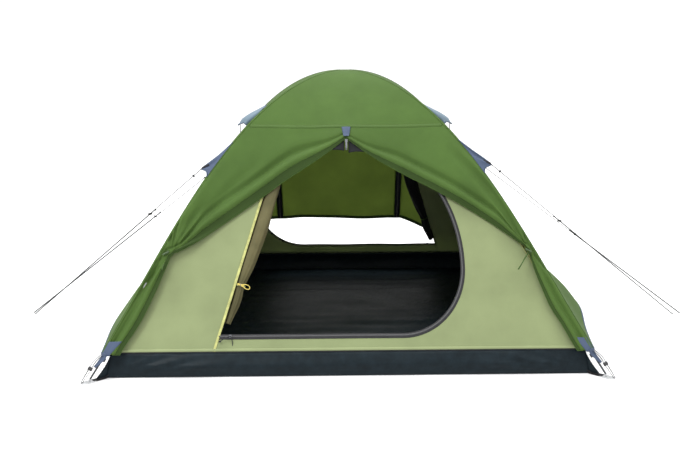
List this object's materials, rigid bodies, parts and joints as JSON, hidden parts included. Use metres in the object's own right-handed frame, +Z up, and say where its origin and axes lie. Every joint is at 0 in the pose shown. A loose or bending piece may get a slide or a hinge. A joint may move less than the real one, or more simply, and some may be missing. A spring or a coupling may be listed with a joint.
{
  "type": "dome tent",
  "caption": "Double-wall dome tent on crossed bent poles, with a bathtub floor, inner doors with zips, a tied-back outer door, vent hoods and guylines with runners.",
  "frame": {"origin": "on the ground under the crossing of the poles", "axes": "+Z up, the open front door faces -Y, +X to the right seen from the front"},
  "size_m": [3.3917, 2.069, 1.268],
  "materials": {
    "fly_fabric": "coated woven polyester, satin",
    "inner_fabric": "breathable woven polyester",
    "floor_fabric": "coated, slightly glossy",
    "trim_fabric": "coated woven polyester",
    "mesh_fabric": "fine net",
    "door_fabric": "thin woven polyester, rolled",
    "zip_tape": "woven tape with coil teeth",
    "zip_metal": "enamelled zinc",
    "pull_cord": "braided cord",
    "pole_fibreglass": "pultruded rod",
    "steel": "zinc plated",
    "elastic": "covered elastic",
    "black_plastic": "moulded",
    "yellow_plastic": "moulded",
    "black_webbing": "woven tape",
    "guy_cord": "braided cord"
  },
  "bodies": {
    "tent": {"corner_floor_straps": "black_webbing", "corner_peg_plates": "steel", "corner_pole_pins": "steel", "fly_corner_adjusters": "black_plastic", "fly_corner_elastics": "elastic", "fly_front_flap_left": "fly_fabric", "fly_front_flap_right": "fly_fabric", "fly_left_panel": "fly_fabric", "fly_rear_panel": "fly_fabric", "fly_right_panel": "fly_fabric", "fly_roof": "fly_fabric", "fly_zip_slider": "zip_metal", "fly_zip_top_patch": "trim_fabric", "front_door_roll": "door_fabric", "front_door_zip": "zip_tape", "groundsheet": "floor_fabric", "guyline_front_left": "guy_cord", "guyline_front_right": "guy_cord", "guyline_rear_left": "guy_cord", "guyline_rear_right": "guy_cord", "guyout_loops": "black_webbing", "guyout_wings": "trim_fabric", "inner_apex_loop": "black_plastic", "inner_crown_patch": "inner_fabric", "inner_front_panel": "inner_fabric", "inner_left_panel": "inner_fabric", "inner_pole_clips": "black_plastic", "inner_rear_panel": "inner_fabric", "inner_right_panel": "inner_fabric", "pole_ferrules": "steel", "pole_lower": "pole_fibreglass", "pole_shock_cords": "elastic", "pole_upper": "pole_fibreglass", "rear_door_roll": "mesh_fabric", "rear_door_zip": "zip_tape", "rear_fly_zips": "zip_tape", "tie_loops": "black_webbing", "vent_meshes": "mesh_fabric"},
    "vent_hood_left": {"vent_hood_left": "trim_fabric"},
    "vent_hood_right": {"vent_hood_right": "trim_fabric"},
    "vent_prop_left": {"vent_prop_left": "black_plastic"},
    "vent_prop_right": {"vent_prop_right": "black_plastic"},
    "front_door_slider": {"front_door_slider": "zip_metal"},
    "front_door_pull": {"front_door_pull": "pull_cord"},
    "rear_door_slider": {"rear_door_slider": "zip_metal"},
    "fly_zip_pull_outer": {"fly_zip_pull_outer": "zip_metal"},
    "fly_zip_pull_inner": {"fly_zip_pull_inner": "zip_metal"},
    "rear_fly_slider_left": {"rear_fly_slider_left": "zip_metal"},
    "rear_fly_slider_right": {"rear_fly_slider_right": "zip_metal"},
    "front_door_toggle": {"front_door_toggle": "yellow_plastic"},
    "rear_door_toggle": {"rear_door_toggle": "black_plastic"},
    "flap_toggle_left": {"flap_toggle_left": "black_plastic"},
    "flap_toggle_right": {"flap_toggle_right": "black_plastic"},
    "runner_front_left": {"runner_front_left": "black_plastic"},
    "runner_front_right": {"runner_front_right": "black_plastic"},
    "runner_rear_left": {"runner_rear_left": "black_plastic"},
    "runner_rear_right": {"runner_rear_right": "black_plastic"}
  },
  "joints": [
    {"name": "vent_hood_left_hinge", "type": "hinge", "parent": "tent", "child": "vent_hood_left", "pos_m": [-0.40853, 0, 1.08548], "axis": [0, 1, 0], "range_deg": [-8, 0]},
    {"name": "vent_hood_right_hinge", "type": "hinge", "parent": "tent", "child": "vent_hood_right", "pos_m": [0.40853, 0, 1.08548], "axis": [0, 1, 0], "range_deg": [0, 8]},
    {"name": "vent_prop_left_hinge", "type": "hinge", "parent": "tent", "child": "vent_prop_left", "pos_m": [-0.53107, 0, 0.95742], "axis": [0, 1, 0], "range_deg": [0, 35]},
    {"name": "vent_prop_right_hinge", "type": "hinge", "parent": "tent", "child": "vent_prop_right", "pos_m": [0.53107, 0, 0.95742], "axis": [0, 1, 0], "range_deg": [-35, 0]},
    {"name": "front_door_zip_slide", "type": "slide", "parent": "tent", "child": "front_door_slider", "axis": [1, 0, 0], "range_m": [0, 0.7]},
    {"name": "front_door_pull_swing", "type": "hinge", "parent": "front_door_slider", "child": "front_door_pull", "pos_m": [-0.512, -0.90514, 0.16884], "axis": [1, 0, 0], "range_deg": [-100, 0]},
    {"name": "rear_door_zip_slide", "type": "slide", "parent": "tent", "child": "rear_door_slider", "axis": [-1, 0, 0], "range_m": [0, 0.7]},
    {"name": "fly_zip_pull_outer_swing", "type": "hinge", "parent": "tent", "child": "fly_zip_pull_outer", "pos_m": [0, -0.481, 0.96168], "axis": [1, 0, 0], "range_deg": [-90, 0]},
    {"name": "fly_zip_pull_inner_swing", "type": "hinge", "parent": "tent", "child": "fly_zip_pull_inner", "pos_m": [0, -0.47482, 0.95693], "axis": [1, 0, 0], "range_deg": [0, 90]},
    {"name": "rear_fly_zip_left_slide", "type": "slide", "parent": "tent", "child": "rear_fly_slider_left", "axis": [0, -0.4587, 0.8886], "range_m": [0, 0.12]},
    {"name": "rear_fly_zip_right_slide", "type": "slide", "parent": "tent", "child": "rear_fly_slider_right", "axis": [0, -0.4587, 0.8886], "range_m": [0, 0.12]},
    {"name": "front_door_toggle_turn", "type": "hinge", "parent": "tent", "child": "front_door_toggle", "pos_m": [-0.4717, -0.7975, 0.369], "axis": [0.1359, -0.8951, 0.4247], "range_deg": [-80, 80]},
    {"name": "rear_door_toggle_turn", "type": "hinge", "parent": "tent", "child": "rear_door_toggle", "pos_m": [0.4717, 0.7975, 0.369], "axis": [-0.1359, 0.8951, 0.4247], "range_deg": [-80, 80]},
    {"name": "flap_toggle_left_turn", "type": "hinge", "parent": "tent", "child": "flap_toggle_left", "pos_m": [-0.8, -0.7659, 0.5074], "axis": [0, -0.8839, 0.4677], "range_deg": [-80, 80]},
    {"name": "flap_toggle_right_turn", "type": "hinge", "parent": "tent", "child": "flap_toggle_right", "pos_m": [0.8, -0.7659, 0.5074], "axis": [0, -0.8839, 0.4677], "range_deg": [-80, 80]},
    {"name": "runner_front_left_slide", "type": "slide", "parent": "tent", "child": "runner_front_left", "axis": [0.7029, -0.3746, 0.6046], "range_m": [0, 0.3]},
    {"name": "runner_front_right_slide", "type": "slide", "parent": "tent", "child": "runner_front_right", "axis": [-0.7374, -0.2995, 0.6054], "range_m": [0, 0.3]},
    {"name": "runner_rear_left_slide", "type": "slide", "parent": "tent", "child": "runner_rear_left", "axis": [0.703, 0.4851, 0.5201], "range_m": [0, 0.3]},
    {"name": "runner_rear_right_slide", "type": "slide", "parent": "tent", "child": "runner_rear_right", "axis": [-0.7212, 0.4505, 0.5263], "range_m": [0, 0.3]}
  ],
  "couplings": [
    {"joint": "vent_prop_left_hinge", "follows": "vent_hood_left_hinge", "ratio": -4.375},
    {"joint": "vent_prop_right_hinge", "follows": "vent_hood_right_hinge", "ratio": -4.375}
  ]
}
